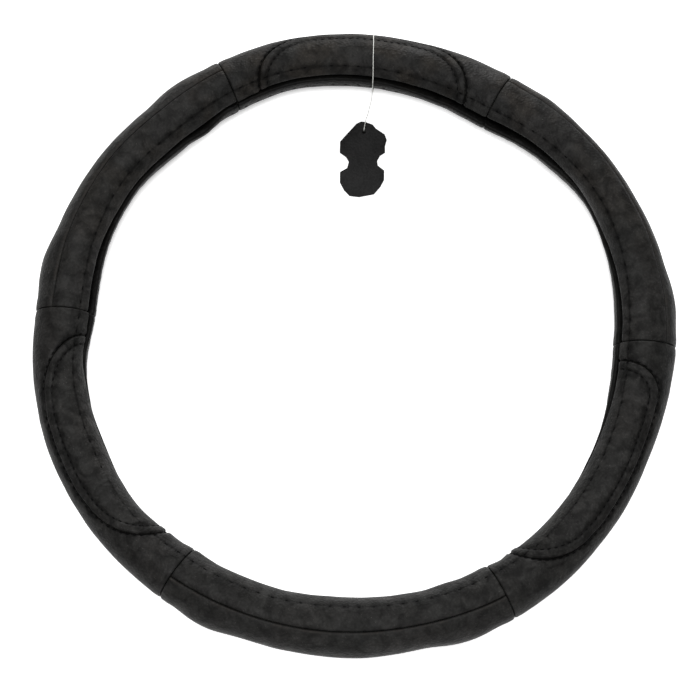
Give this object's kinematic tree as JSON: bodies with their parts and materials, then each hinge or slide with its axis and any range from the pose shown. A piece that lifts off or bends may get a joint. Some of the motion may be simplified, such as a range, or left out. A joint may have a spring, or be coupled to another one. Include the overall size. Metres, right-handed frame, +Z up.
{
  "type": "steering wheel cover",
  "caption": "Stitched black leather steering wheel cover with shaped finger grips, sewn-in thumb inserts, a ribbed rubber lining and a leather hang tag on a thread.",
  "frame": {"origin": "on the ring's axis, at the level that the cover rests on, lying on its back", "axes": "+Z up out of the cover's front, +Y towards the grip panel at the top, +X to the right seen from the front"},
  "size_m": [0.3833, 0.3835, 0.0358],
  "materials": {
    "rubber": "matte moulded",
    "leather": "matte, fine grain",
    "tag_leather": "matte",
    "thread": "thin clear-white thread"
  },
  "bodies": {
    "root": {"inner_rubber_ring": "rubber", "upper_right_face_strip": "leather", "upper_right_outer_strip": "leather", "top_grip_insert": "leather", "top_grip_outer": "leather", "upper_left_face_strip": "leather", "upper_left_outer_strip": "leather", "lower_left_grip_insert": "leather", "lower_left_grip_outer": "leather", "bottom_face_strip": "leather", "bottom_outer_strip": "leather", "lower_right_grip_insert": "leather", "lower_right_grip_outer": "leather", "hang_tag": "tag_leather", "tag_thread": "thread"}
  },
  "joints": []
}
